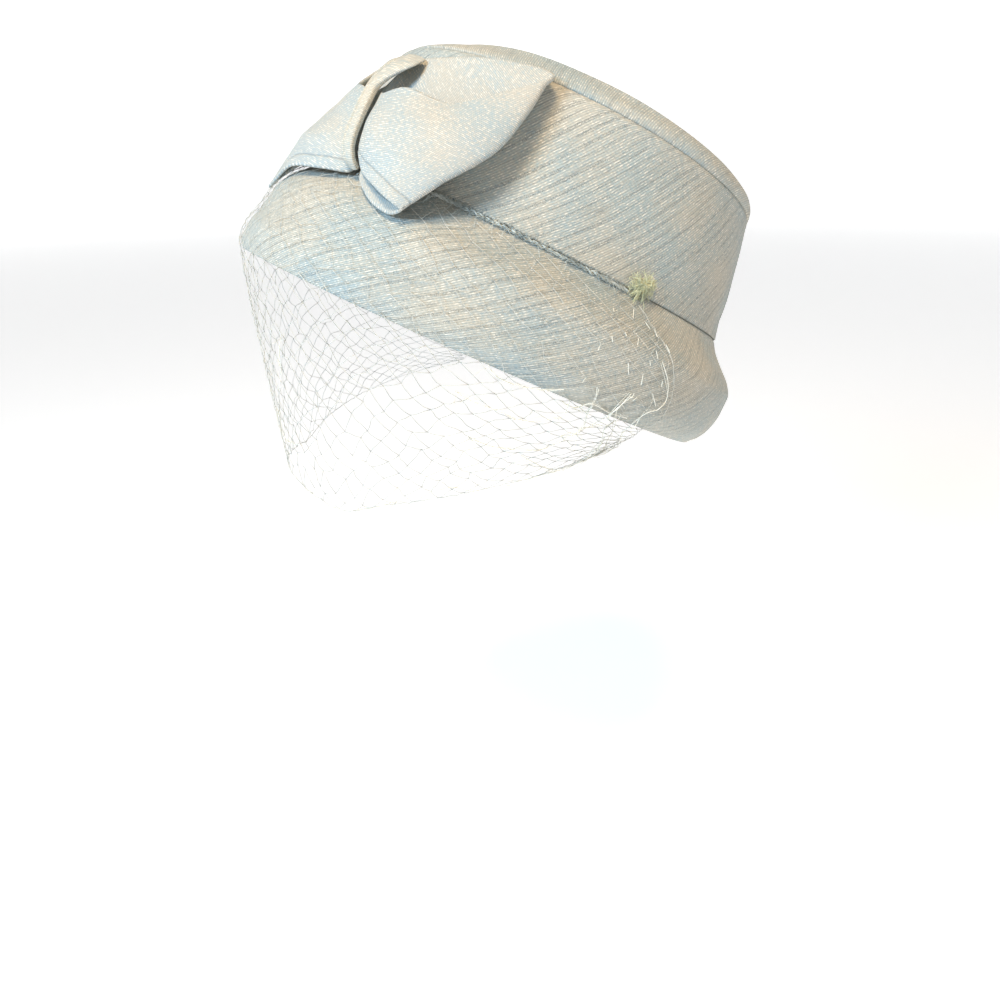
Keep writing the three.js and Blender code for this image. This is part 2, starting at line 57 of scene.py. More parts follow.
VEIL_BRIM_ROWS, VEIL_HANG_ROWS = 2, 3

# drop, front, back, side
BRIM_ROWS = np.array([
    [0.108, 0.147, 0.193, 0.17],
    [0.225, 0.388, 0.513, 0.485],
    [0.342, 0.62, 0.822, 0.801],
    [0.46, 0.75, 0.99, 0.955],
    [0.64, 0.86, 1.0, 0.99],
    [0.802, 0.976, 0.888, 1.0],
    [0.917, 1.0, 0.736, 0.917],
    [1.0, 0.951, 0.487, 0.738],
])
# rise, front, back, side, pitch
CROWN_ROWS = np.array([
    [0.0, 0.0, 0.0, 0.0, 0.009],
    [0.14, 0.07, 0.084, 0.085, 0.021],
    [0.29, 0.126, 0.151, 0.154, 0.031],
    [0.542, 0.201, 0.307, 0.308, 0.024],
    [0.761, 0.285, 0.474, 0.431, 0.017],
    [TIP_SEAM, 0.383, 0.534, 0.462, 0.016],
    [0.913, 0.53, 0.586, 0.492, 0.016],
    [0.965, 0.75, 0.745, 0.669, 0.001],
    [1.0, 1.0, 1.0, 1.0, -0.028],
])
# spread, lift
DOME_ROWS = [(0.7, 0.55), (0.35, 0.9), (0.0, 1.0)]

# The bow's loops: three cuts across each (top edge, middle, hem), nine places round each cut
LEFT_LOOP = np.array([
    [[0.065, 0.44, 0.46], [0.31, 0.485, 0.68], [0.6, 0.49, 0.68], [0.82, 0.69, 0.5],
     [0.98, 0.95, 0.32], [0.9, 0.98, 0.17], [0.6, 0.93, 0.085], [0.29, 0.83, 0.085],
     [0.065, 0.74, 0.12]],
    [[0.065, 0.18, 0.56], [0.25, 0.19, 0.86], [0.55, 0.22, 0.94], [0.78, 0.28, 0.86],
     [0.92, 0.33, 0.66], [0.84, 0.36, 0.36], [0.56, 0.36, 0.14], [0.28, 0.34, 0.12],
     [0.065, 0.32, 0.14]],
    [[0.065, -0.06, 0.44], [0.2, -0.14, 0.74], [0.36, -0.2, 0.98], [0.49, -0.25, 1.06],
     [0.58, -0.28, 1.02], [0.5, -0.275, 0.9], [0.34, -0.23, 0.76], [0.18, -0.145, 0.61],
     [0.065, -0.075, 0.36]],
])
RIGHT_LOOP = np.array([
    [[0.065, 0.44, 0.46], [0.31, 0.47, 0.52], [0.6, 0.48, 0.44], [0.82, 0.59, 0.3],
     [0.98, 0.76, 0.15], [0.9, 0.81, 0.09], [0.6, 0.81, 0.085], [0.29, 0.78, 0.085],
     [0.065, 0.68, 0.11]],
    [[0.065, 0.18, 0.54], [0.25, 0.18, 0.68], [0.55, 0.19, 0.67], [0.82, 0.21, 0.62],
     [1, 0.24, 0.54], [0.9, 0.3, 0.3], [0.56, 0.34, 0.14], [0.28, 0.34, 0.12],
     [0.065, 0.32, 0.14]],
    [[0.065, -0.08, 0.4], [0.25, -0.14, 0.64], [0.58, -0.19, 0.85], [0.78, -0.27, 0.94],
     [0.92, -0.3, 0.97], [0.78, -0.25, 0.76], [0.58, -0.16, 0.58], [0.25, -0.09, 0.42],
     [0.065, -0.03, 0.28]],
])
KNOT_FLAP = 11.5  # reach of the flap at the knot's upper end
KNOT_TUCK = 0.022  # share of the reach by which the loops' cloth goes on under the knot's edges
CLOTH_CROWN, CLOTH_BRIM = CROWN_WALL - 0.4, BRIM_WALL - 0.5  # a little less than the solids' walls
BAND_LIP, LOOP_LIP = 3, 2  # rings in a rolled edge

# How the cloth lies off the plain loops above: only the hems hang lower, the back layer below the front
LEFT_DRAPE, RIGHT_DRAPE = np.zeros((3, 9, 3)), np.zeros((3, 9, 3))
LEFT_DRAPE[2, 5:] = [[0, -0.05, 0.04], [-0.02, -0.07, 0.07], [-0.02, -0.055, 0.05], [0, -0.02, 0.04]]
RIGHT_DRAPE[2] = [
    [0, -0.06, 0.03], [0, -0.06, 0.04], [0, -0.07, 0.03], [0, -0.11, 0.03], [-0.02, -0.16, 0.05],
    [0, -0.09, 0.1], [0, -0.04, 0.06], [0, -0.03, 0.04], [0, -0.02, 0.02],
]
RIGHT_DRAPE[1] = [
    [0, -0.01, 0], [0, -0.02, 0], [0, -0.03, 0], [0, -0.04, 0], [-0.02, -0.05, 0],
    [0, -0.03, 0], [0, -0.02, 0], [0, -0.01, 0], [0, 0, 0],
]
KNOT_RUN = np.array([
    [-0.12, 0.5], [-0.06, 0.64], [0.1, 0.72], [0.3, 0.69], [0.5, 0.59], [0.67, 0.42], [0.78, 0.2],
])
VEIL_HANG = np.array([[0, 1], [0.28, 0.97], [0.45, 0.8], [0.64, 0.58], [0.84, 0.34], [1, 0.15]])
# along, half turn in degrees
VEIL_SPREAD = np.array([[0, 94.5], [0.1, 100.5], [0.2, 105.5], [0.3, 108.5], [0.4, 109.5], [1, 102.5]])

# The photo's camera, in the frame of the model
CAM_PLACE = Vector((0.34064, -0.13419, 0.08551))
CAM_FORWARD = Vector((-0.84277, 0.3393, -0.41787))
CAM_UP = Vector((-0.38112, 0.17207, 0.90837))
CAM_RIGHT = Vector((0.38012, 0.92481, -0.0157))
CAM_FOCAL_PX, PHOTO_PX, SENSOR = 722.0, 1000, 36.0
FLOOR_Z = -0.3795


# Curves and tables

def unit(vectors):
    """The same directions, each of length 1."""
    return vectors / np.linalg.norm(vectors, axis=-1, keepdims=True)


def slope_curve(xs, ys, x):
    """Smooth curve through a table's rows that never overshoots them."""
    xs, ys, x = np.asarray(xs, float), np.asarray(ys, float), np.asarray(x, float)
    h, d = np.diff(xs), np.diff(ys) / np.diff(xs)
    m = np.zeros(len(xs))
    same = d[:-1] * d[1:] > 0
    w1, w2 = 2 * h[1:] + h[:-1], h[1:] + 2 * h[:-1]
    inner = np.zeros(len(d) - 1)
    inner[same] = (w1 + w2)[same] / (w1[same] / d[:-1][same] + w2[same] / d[1:][same])
    m[1:-1] = inner
    m[0], m[-1] = d[0], d[-1]
    k = np.clip(np.searchsorted(xs, x, side="right") - 1, 0, len(d) - 1)
    t = np.clip((x - xs[k]) / h[k], 0, 1)
    a, b = 2 * t**3 - 3 * t**2 + 1, t**3 - 2 * t**2 + t
    c, e = -2 * t**3 + 3 * t**2, t**3 - t**2
    return a * ys[k] + b * h[k] * m[k] + c * ys[k + 1] + e * h[k] * m[k + 1]


def catmull(points, t):
    """Plain Catmull-Rom through points (first axis), t from 0 to 1."""
    n = len(points) - 1
    s = np.clip(np.asarray(t, float) * n, 0, n - 1e-9)
    k = s.astype(int)
    w = (s - k)[(...,) + (None,) * (points.ndim - 1)]
    p0, p1 = points[np.maximum(k - 1, 0)], points[k]
    p2, p3 = points[np.minimum(k + 1, n)], points[np.minimum(k + 2, n)]
    a, b = (p2 - p0) * 0.5, (p3 - p1) * 0.5
    return (2 * p1 - 2 * p2 + a + b) * w**3 + (-3 * p1 + 3 * p2 - 2 * a - b) * w**2 + a * w + p1


def closed_curve(nodes, steps):
    """Closed centripetal Catmull-Rom through nodes (n, 3)."""
    n = len(nodes)
    out = []
    for i in range(n):
        p0, p1, p2, p3 = (nodes[(i + k) % n] for k in (-1, 0, 1, 2))
        pairs = ((p0, p1), (p1, p2), (p2, p3))
        d0, d1, d2 = (max(float(((b - a) ** 2).sum()) ** 0.25, 1e-4) for a, b in pairs)
        t1 = ((p1 - p0) / d0 - (p2 - p0) / (d0 + d1) + (p2 - p1) / d1) * d1
        t2 = ((p2 - p1) / d1 - (p3 - p1) / (d1 + d2) + (p3 - p2) / d2) * d1
        for w in np.arange(steps) / steps:
            out.append(
                (2 * w**3 - 3 * w**2 + 1) * p1 + (w**3 - 2 * w**2 + w) * t1
                + (-2 * w**3 + 3 * w**2) * p2 + (w**3 - w**2) * t2
            )
    return np.array(out)


# Surfaces of the hat, in its own frame

def oval(front, back, side, turn, z):
    reach = (front + back) / 2
    z = z + 0 * turn
    return np.stack([side * np.sin(turn), (back - front) / 2 - reach * np.cos(turn), z], -1)


def seam_dip(turn, away):
    return SEAM_DIP * np.sin(turn) ** 2 * (1 - away) ** 2


def crown_row(row, turn):
    rise, front, back, side, pitch = row
    f, b, s = SEAM - TAPER * np.array([front, back, side])
    p = oval(f, b, s, turn, BRIM_DEPTH + CROWN_HEIGHT * rise - seam_dip(turn, rise))
    p[:, 2] += pitch * p[:, 1]
    return p


def brim_row(row, turn):
    drop, front, back, side = row
    f, b, s = SEAM + FLARE * np.array([front, back, side])
    return oval(f, b, s, turn, BRIM_DEPTH * (1 - drop) - seam_dip(turn, drop))


def crown_face(z, turn, stand):
    rise = np.clip((z - BRIM_DEPTH) / CROWN_HEIGHT, 0, 1)
    f, b, s = (SEAM[k] - TAPER[k] * np.interp(rise, CROWN_ROWS[:, 0], CROWN_ROWS[:, k + 1]) for k in range(3))
    return oval(f + stand, b + stand, s + stand, turn, z)


def bow_point(turn, rise, stand, aside=0.0):
    along = LOOP_REACH * turn - KNOT_LEAN * rise * (1 - np.abs(turn)) + aside
    return crown_face(BRIM_DEPTH + BOW_RISE * rise, BOW_TURN + along / BOW_RADIUS, BOW_STAND * stand)


def brim_face(drop, turn, stand):
    """Point over the brim's outer face, for arrays of drop and turn."""
    inset = CROWN_WALL + GAP
    rows = np.vstack([[0, *(-inset / FLARE)], BRIM_ROWS])

    def at(share, angle):
        f, b, s = (SEAM[k] + FLARE[k] * slope_curve(rows[:, 0], rows[:, k + 1], share) for k in range(3))
        return oval(f, b, s, angle, BRIM_DEPTH * (1 - share) - seam_dip(angle, share))

    step = 0.02
    along = at(np.minimum(drop + step, 1), turn) - at(np.maximum(drop - step, 0), turn)
    across = at(drop, turn + step) - at(drop, turn - step)
    normal = unit(np.cross(along, across))
    return at(drop, turn) + normal * np.asarray(stand)[..., None]


def veil_point(share, along, lift):
    """Point of the net: share -1 to 1 round the hat, along 0 at the seam to 1 at the lower edge."""
    share, along = np.broadcast_arrays(np.asarray(share, float), np.asarray(along, float))
    turn = share * np.radians(np.interp(along, VEIL_SPREAD[:, 0], VEIL_SPREAD[:, 1]))
    split = VEIL_BRIM_ROWS / (VEIL_BRIM_ROWS + VEIL_HANG_ROWS)
    drop = VEIL_START + (1 - VEIL_START) * np.minimum(along / split, 1)
    fall = np.clip((along - split) / (1 - split), 0, 1)
    stand = lift + 1.4 * np.clip(fall * 4, 0, 1)
    point = brim_face(drop, turn, stand)
    hang = VEIL_DROP * slope_curve(VEIL_HANG[:, 0], VEIL_HANG[:, 1], np.abs(share)) * fall
    out = unit(point * LEVEL)
    down = np.array([0, np.sin(WORN_TILT), -np.cos(WORN_TILT)])
    return point + down * hang[..., None] - out * (VEIL_DRAW * fall)[..., None]


def worn(points):
    """From the hat's own frame in millimetres to the model's frame in metres."""
    p = np.asarray(points, float) * 0.001
    c, s = np.cos(-WORN_TILT), np.sin(-WORN_TILT)
    return np.stack([p[..., 0], c * p[..., 1] - s * p[..., 2], s * p[..., 1] + c * p[..., 2]], -1)


def photo_px(points):
    """Place in the photo, in pixels, of points in the model's frame."""
    d = np.asarray(points) - np.array(CAM_PLACE)
    depth = d @ np.array(CAM_FORWARD)
    return np.stack([
        PHOTO_PX / 2 + CAM_FOCAL_PX * (d @ np.array(CAM_RIGHT)) / depth,
        PHOTO_PX / 2 - CAM_FOCAL_PX * (d @ np.array(CAM_UP)) / depth,
    ], -1), depth


# Mesh makers

def ring_normals(rings):
    across = np.roll(rings, -1, axis=1) - np.roll(rings, 1, axis=1)
    n = np.cross(across, np.gradient(rings, axis=0))
    return n / np.maximum(np.linalg.norm(n, axis=-1, keepdims=True), 1e-9)


def outward_normals(rings, row):
    """Normals of rings round the hat, turned so that those of the given row point away from its axis."""
    n = ring_normals(rings)
    return -n if n[row, 0] @ (rings[row, 0] * LEVEL) < 0 else n


def tube_normals(cuts):
    """Normals of a tube of cloth, turned to point away from its own middle."""
    n = ring_normals(cuts)
    centre = cuts.mean(axis=1, keepdims=True)
    return -n if np.mean(np.einsum("ijk,ijk->ij", n, cuts - centre)) < 0 else n


def rolled_edge(ring_out, ring_in, away, wall, lip):
    """Rings that carry the cloth round a free edge, from its outer face to its inner one."""
    mid, half = (ring_out + ring_in) / 2, (ring_out - ring_in) / 2
    return np.array([mid + half * np.cos(a) + away * np.sin(a) * wall / 2
                     for a in np.linspace(0, np.pi, lip + 2)[1:-1]])


def new_object(name, verts, faces, uvs=None):
    """Smooth mesh object in the model's frame. verts are in metres; so are uvs, one for each vertex."""
    mesh = bpy.data.meshes.new(name)
    mesh.from_pydata([tuple(v) for v in verts], [], faces)
    if uvs is not None:
        layer = mesh.uv_layers.new(name="cloth")
        loops = np.zeros(len(mesh.loops), int)
        mesh.loops.foreach_get("vertex_index", loops)
        layer.data.foreach_set("uv", np.asarray(uvs, float)[loops].ravel())
    mesh.validate()
    mesh.update()
    mesh.polygons.foreach_set("use_smooth", [True] * len(mesh.polygons))
    obj = bpy.data.objects.new(name, mesh)
    bpy.context.scene.collection.objects.link(obj)
    return obj


def grid_faces(rows, columns, width, start=0, wrap=False):
    """Quads between neighbouring rows of points, width to a row; wrap joins the last column to the first."""
    last = columns if wrap else columns + 1
    return [
        (start + i * width + k, start + i * width + (k + 1) % last,
         start + (i + 1) * width + (k + 1) % last, start + (i + 1) * width + k)
        for i in range(rows) for k in range(columns)
    ]


def tube_of_rings(name, rings, uvs, poles=None):
    """Closed body through rings (r, c, 3) in the hat's frame; it joins the last ring to the first,
    or ends in the two poles. The seam of the cloth's own coordinates repeats the first column."""
    r, c, _ = rings.shape
    # one more column, so that the cloth's coordinates don't run back across the last face
    pts = np.concatenate([rings, rings[:, :1]], axis=1)
    verts = worn(pts.reshape(-1, 3))
    uv = uvs.reshape(-1, 2)
    w = c + 1
    faces = grid_faces(r - 1, c, w)
    if poles is None:
        faces += [((r - 1) * w + k, (r - 1) * w + k + 1, k + 1, k) for k in range(c)]
    verts, uv = list(verts), list(uv)
    if poles is not None:
        for ring, pole, flip in ((0, poles[0], True), (r - 1, poles[1], False)):
            verts.append(worn(pole))
            uv.append(uv[ring * w])
            tip = len(verts) - 1
            for k in range(c):
                a, b = ring * w + k, ring * w + k + 1
                faces.append((b, a, tip) if flip else (a, b, tip))
    obj = new_object(name, verts, faces, uv)
    weld(obj)
    return obj


def doubled(name, outer, inner, guide, uv, wall, lip):
    """Cloth with a thickness: outer face, rolled edge, inner face and the other rolled edge. guide holds
    the rings whose ends the edges continue, uv the cloth coordinates of the outer face."""
    rings = np.concatenate([
        outer,
        rolled_edge(outer[-1], inner[-1], unit(guide[-1] - guide[-2]), wall, lip),
        inner[::-1],
        rolled_edge(inner[0], outer[0], unit(guide[0] - guide[1]), wall, lip),
    ])
    uvs = np.concatenate([uv, np.repeat(uv[-1:], lip, axis=0), uv[::-1], np.repeat(uv[:1], lip, axis=0)])
    return tube_of_rings(name, rings, uvs)


def weld(obj, distance=1e-6):
    """Joins the doubled column and makes all faces point out."""
    bm = bmesh.new()
    bm.from_mesh(obj.data)
    bmesh.ops.remove_doubles(bm, verts=bm.verts, dist=distance)
    bmesh.ops.recalc_face_normals(bm, faces=bm.faces)
    bm.to_mesh(obj.data)
    bm.free()
    obj.data.update()


def strands(name, lines, radius, sides=4, taper=1.0):
    """Many thin threads as one mesh. lines are arrays of points in the hat's frame, in millimetres;
    radius is one number or one for each line."""
    verts, faces = [], []
    radii = np.broadcast_to(radius, (len(lines),))
    for line, rad in zip(lines, radii):
        p = np.asarray(line, float)
        t = np.gradient(p, axis=0)
        t /= np.maximum(np.linalg.norm(t, axis=1, keepdims=True), 1e-9)
        side = np.cross(t, np.array([0.31, 0.19, 0.93]))
        side /= np.maximum(np.linalg.norm(side, axis=1, keepdims=True), 1e-6)
        up = np.cross(side, t)
        ang = 2 * np.pi * np.arange(sides) / sides
        size = np.full(len(p), float(rad))
        if taper < 1:
            size *= np.linspace(1, taper, len(p))
        ring = (
            p[:, None] + size[:, None, None] * (np.cos(ang)[None, :, None] * side[:, None]
                                               + np.sin(ang)[None, :, None] * up[:, None])
        )
        start = len(verts)
        verts.extend(map(tuple, worn(ring.reshape(-1, 3))))
        faces += grid_faces(len(p) - 1, sides, sides, start, wrap=True)
        faces.append(tuple(start + k for k in range(sides))[::-1])
        faces.append(tuple(start + (len(p) - 1) * sides + k for k in range(sides)))
    return new_object(name, verts, faces)


def soft_noise(shape, cells, seed):
    """Smooth noise from -1 to 1 on a grid, for gentle unevenness of the cloth."""
    gen = np.random.default_rng(seed)
    coarse = gen.uniform(-1, 1, (cells[0] + 3, cells[1] + 3))
    out = np.zeros(shape)
    u = np.linspace(0, cells[0], shape[0], endpoint=False)
    v = np.linspace(0, cells[1], shape[1], endpoint=False)
    i, j = u.astype(int), v.astype(int)
    a, b = u - i, v - j
    a, b = a * a * (3 - 2 * a), b * b * (3 - 2 * b)
    coarse[:, cells[1]] = coarse[:, 0]
    coarse[:, cells[1] + 1] = coarse[:, 1]
    for di, wi in ((0, 1 - a), (1, a)):
        for dj, wj in ((0, 1 - b), (1, b)):
            out += wi[:, None] * wj[None, :] * coarse[np.ix_(i + di, j + dj)]
    return out


def ridge(place, centre, width, height):
    """A soft ridge of the given height at a place along the cloth."""
    return height * np.exp(-((place - centre) / width) ** 2)


def lengths_round(rings):
    """Cloth coordinates of a stack of rings in metres: round the ring and along the stack."""
    pts = np.concatenate([rings, rings[:, :1]], axis=1)
    middle = pts[len(pts) // 2]
    u = np.concatenate([[0], np.cumsum(np.linalg.norm(np.diff(middle, axis=0), axis=1))])
    step = np.linalg.norm(np.diff(pts, axis=0), axis=2).mean(axis=1)
    v = np.concatenate([[0], np.cumsum(step)])
    return np.stack(np.meshgrid(u, v, indexing="xy"), -1) * 0.001


# Crown

AROUND = 280
TURNS = 2 * np.pi * np.arange(AROUND) / AROUND


def crown_skin():
    """Rings of the whole crown, from the seam up to the middle of the top."""
    base = np.array([crown_row(row, TURNS) for row in CROWN_ROWS])
    middle = base[-1].mean(axis=0)
    dome = [middle + (base[-1] - middle) * s + np.array([0, 0, TIP_DOME * lift]) for s, lift in DOME_ROWS]
    return np.concatenate([base, np.array(dome)])


def shell(name, outer, wall, uv_shift=0.0):
    """A band of cloth round the hat, laid inwards from its outer rings."""
    inner = outer - outward_normals(outer, len(outer) // 2) * wall
    uv = lengths_round(outer) + np.array([uv_shift, 0])
    return doubled(name, outer, inner, outer, uv, wall, BAND_LIP)


def make_crown():
    """Side band and tip, cut from one surface at the tip's seam."""
    side_rows, tip_rows, rim = 44, 46, 0.995
    whole = crown_skin()
    seam = int(np.where(CROWN_ROWS[:, 0] == TIP_SEAM)[0][0])
    t_seam = seam / (len(whole) - 1)
    side = catmull(whole, np.linspace(0, 1, side_rows) * t_seam)
    n = outward_normals(side, 5)
    rise = np.linspace(0, 1, len(side))[:, None]
    # the folded bottom edge stands a little proud over its line of stitches, the band is slightly
    # uneven, and its top rolls in under the tip
    proud = ridge(rise, 0, 0.06, 0.3) - ridge(rise, 0.17, 0.05, 0.28)
    proud = proud + 0.3 * soft_noise((len(side), AROUND), (4, 22), 3) * np.sin(np.pi * rise)
    side = side + n * (proud - ridge(rise, 1, 0.035, 0.5))[..., None]
    crown = shell("crown_side_cloth", side, CLOTH_CROWN)
    # the tip, with its seam rolled under
    tip = catmull(whole, t_seam + (1 - t_seam) * np.linspace(0, rim, tip_rows))
    tn = outward_normals(tip, 3)
    s = np.linspace(0, 1, len(tip))[:, None]
    uneven = 0.25 * soft_noise((len(tip), AROUND), (7, 20), 5) * np.minimum(1, s * 4)
    tip = tip + tn * (uneven - ridge(s, 0, 0.02, 0.45))[..., None]
    tip[0, :, 2] += GAP
    tip[1, :, 2] += GAP * 0.5
    rings = np.concatenate([tip[::-1], tip - tn * CLOTH_CROWN])
    middle = whole[-1].mean(axis=0)
    closed = np.concatenate([rings, rings[:, :1]], axis=1)
    flat = (closed - middle)[..., :2]
    reach = np.linalg.norm(flat, axis=-1, keepdims=True)
    # round the shoulder the cloth's own coordinates go on growing down the side
    grow = np.maximum(0, (middle[2] - 4 - closed[..., 2:]) * 0.8)
    uvs = flat / np.maximum(reach, 1e-6) * (reach + grow) * 0.001
    poles = (middle, middle - np.array([0, 0, CLOTH_CROWN]))
    return crown, tube_of_rings("crown_tip_cloth", rings, uvs, poles=poles)


def make_brim():
    """Brim from the flange inside the crown to its hemmed edge, then through its wall and back."""
    inset = CROWN_WALL + GAP
    base = np.array([crown_row(row, TURNS) for row in CROWN_ROWS[:2]])
    n = outward_normals(base, 0)
    # just under the crown's folded edge the brim comes out flush with it, so the seam is a thin line
    flush, clear, collar = 0.9, 0.1, [-0.14, -0.002, 0.012]  # insets, and drops of the three rings
    places = ((1, inset), (0, inset - clear), (0, flush))
    flange, under, tucked = (base[k] - n[k] * depth for k, depth in places)
    tucked[:, 2] -= 2 * GAP
    face = np.array([brim_row(row, TURNS) for row in BRIM_ROWS])
    stack = np.concatenate([[flange, under, tucked], face])
    keys = np.concatenate([collar, BRIM_ROWS[:, 0]])
    want = np.concatenate([
        np.linspace(collar[0], -0.02, 5), [-0.003, 0.004, 0.011], np.linspace(0.03, 1, 58),
    ])
    outer = np.zeros((len(want), AROUND, 3))
    for k in range(AROUND):
        for a in range(3):
            outer[:, k, a] = slope_curve(keys, stack[:, k, a], want)
    nn = outward_normals(outer, 33)
    w = want[:, None]
    fade = np.clip(w * 3, 0, 1) * np.clip((1 - w) * 8, 0.25, 1)
    uneven = 0.45 * soft_noise((len(want), AROUND), (4, 20), 11) * fade
    # a thin ridge where the edge's hem is turned under
    hem = 0.28 * np.clip((w - 0.965) / 0.02, 0, 1)
    outer = outer + nn * (uneven + hem)[..., None]
    return shell("brim_cloth", outer[::-1], CLOTH_BRIM, uv_shift=0.37)


# Bow

def loop_cuts(table, side, across, steps):
    """Sheet of a loop: (across, round, 3), from its top edge (0) to its hem (1)."""
    cuts = []
    for row in catmull(table, np.linspace(0, 1, across)):
        nodes = np.array([bow_point(np.float64(side * t), np.float64(r), np.float64(s)) for t, r, s in row])
        cuts.append(closed_curve(nodes, steps))
    return np.array(cuts)


def make_loop(name, table, drape, side, seed, pleats):
    """Folded loop of the bow: a tube of cloth with two open ends, its top edge and its hem."""
    across, steps = ((44, 16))
    table = table + drape
    table[:, [0, 8], 0] -= KNOT_TUCK
    cuts = loop_cuts(table, side, across, steps)
    a, c = cuts.shape[:2]
    n = tube_normals(cuts)
    place = np.arange(c) / steps  # node number round the cut
    share = np.linspace(0, 1, a)[:, None]
    near = np.minimum(place, 9 - place)[None, :]  # distance from the knot, in nodes
    # pleats that run out of the knot and die away, softer towards the fold
    pleat = np.sin(share * np.pi * 2.6 + 0.6) * ridge(near, 0.7, 0.8, pleats)
    # crumples across the front layer
    wave = 0.55 * soft_noise((a, c), (5, 9), seed) * np.clip(near, 0.2, 1)
    # stitched hem, a shallow groove inside the hem edge
    girth = np.linalg.norm(cuts[1:] - cuts[:-1], axis=-1)
    reach = np.concatenate([np.zeros((1, c)), np.cumsum(girth, axis=0)])
    from_hem = reach[-1:] - reach
    groove = ridge(from_hem, 4.0, 0.45, 0.3)
    cuts = cuts + n * (pleat + wave - groove)[..., None] * 0.8
    half = tube_normals(cuts) * LOOP_WALL / 2
    v = np.concatenate([from_hem, from_hem[:, :1]], axis=1) * 0.001
    uv = np.stack([lengths_round(cuts)[..., 0], v], -1)
    return doubled(name, cuts + half, cuts - half, cuts, uv, LOOP_WALL, LOOP_LIP)


def make_knot():
    """Band over the bow's middle, creased along its length; its upper end opens into a flap that
    turns over the top edge towards the near loop."""
    cuts, around = ((64, 80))
    run = catmull(KNOT_RUN, np.linspace(0, 1, cuts)) * np.array([BOW_RISE, BOW_STAND])
    head = unit(np.gradient(run, axis=0))
    ang = 2 * np.pi * np.arange(around) / around
    face = np.sin(ang)
    side = np.sign(np.cos(ang)) * np.abs(np.cos(ang)) ** 0.8
    rings = np.zeros((cuts, around, 3))
    for i in range(cuts):
        t = i / (cuts - 1)
        opened = np.clip((t - 0.6) / 0.3, 0, 1)
        opened = opened * opened * (3 - 2 * opened)
        wide = 0.5 * KNOT_WIDTH * (0.72 + 0.12 * t)
        depth = 0.5 * KNOT_DEPTH * (1 - 0.45 * opened) * np.sign(face) * np.abs(face) ** 0.5
        crease = ridge(side, 0.3 * opened - 0.35, 0.16, 0.7)
        depth = depth - np.where(face > 0, crease, 0) * np.abs(face) ** 0.5
        aside = wide * side + KNOT_FLAP * opened * np.maximum(side, 0)
        # the flap bows up along its middle
        depth = depth + 0.9 * opened * np.sin(np.pi * np.clip(side, 0, 1))
        rise = (run[i, 0] - head[i, 1] * depth) / BOW_RISE
        stand = (run[i, 1] + head[i, 0] * depth) / BOW_STAND
        rings[i] = bow_point(np.zeros(around), rise, stand, aside)
    centre = rings.mean(axis=1)
    uvs = lengths_round(rings) + np.array([0.11, 0.03])
    return tube_of_rings("bow_knot_cloth", rings, uvs, poles=(centre[0], centre[-1]))


# Veil

def make_net():
    """Fine net of diamonds over the whole veil, its knots a little out of place."""
    columns, rows = 68, 30  # half cells
    on_brim_radius, hanging_radius, edge_radius = 0.085, 0.14, 0.17
    brim_share = 0.405  # of the way down to the lower edge, where the net leaves the brim
    slack, shape = 0.22, (columns + 1, rows + 1)
    gen = np.random.default_rng(21)
    i, j = np.arange(columns + 1), np.arange(rows + 1)
    shift = gen.normal(0, slack, (*shape, 2))
    jitter_u = shift[..., 0] + 0.55 * soft_noise(shape, (7, 5), 31)
    jitter_v = shift[..., 1] + 0.5 * soft_noise(shape, (6, 4), 37)
    jitter_v[:, 0] = 0
    share = np.clip(2 * (i[:, None] + jitter_u) / columns - 1, -1, 1)
    along = np.clip((j[None, :] + jitter_v) / rows, 0, 1)
    along[:, -1] = 1 - np.abs(gen.normal(0, 0.008, columns + 1))
    lines, on_brim = [], []

    def strand(a, b):
        t = np.linspace(0, 1, 4)
        u = share[a] + (share[b] - share[a]) * t
        v = along[a] + (along[b] - along[a]) * t
        over, arch = v < brim_share, np.sin(np.pi * t)
        p = veil_point(u, v, 0.9 + 0.35 * arch)
        lines.append(p + (gen.normal(0, slack, p.shape) * arch[:, None]) * np.where(over, 0.4, 1)[:, None])
        on_brim.append(over.all())

    crossings = [(a, b) for a in range(columns + 1) for b in range(rows + 1) if (a + b) % 2 == 0]
    for a, b in crossings:
        for da in (1, -1):
            if 0 <= a + da <= columns and b + 1 <= rows:
                strand((a, b), (a + da, b + 1))
    # the two side edges and the lower edge are corded by a second thread
    down, round_edge = np.linspace(0, 1, 90), np.linspace(-1, 1, 260)
    for edge in (-1.0, 1.0):
        lines.append(veil_point(edge, down, 1.1) + gen.normal(0, 0.12, (len(down), 3)))
    lines.append(veil_point(round_edge, 0.996, 1.0) + gen.normal(0, 0.15, (len(round_edge), 3)))
    radius = [on_brim_radius if flat else hanging_radius for flat in on_brim]
    net = strands("veil_net_threads", lines, radius + [hanging_radius, hanging_radius, edge_radius])
    # knots, as small faceted beads of thread
    knots_v, knots_f = [], []
    bead = np.array([(1, 0, 0), (-1, 0, 0), (0, 1, 0), (0, -1, 0), (0, 0, 1), (0, 0, -1)], float)
    tri = [(0, 2, 4), (2, 1, 4), (1, 3, 4), (3, 0, 4), (2, 0, 5), (1, 2, 5), (3, 1, 5), (0, 3, 5)]
    for a, b in crossings:
        p = veil_point(share[a, b], along[a, b], 0.9)
        start = len(knots_v)
        turn = gen.uniform(0, 2 * np.pi)
        rot = np.array([[np.cos(turn), -np.sin(turn), 0], [np.sin(turn), np.cos(turn), 0], [0, 0, 1]])
        knots_v.extend(map(tuple, worn(p + (bead @ rot.T) * gen.uniform(0.2, 0.34))))
        knots_f.extend(tuple(start + k for k in t) for t in tri)
    return net, new_object("veil_net_knots", knots_v, knots_f)


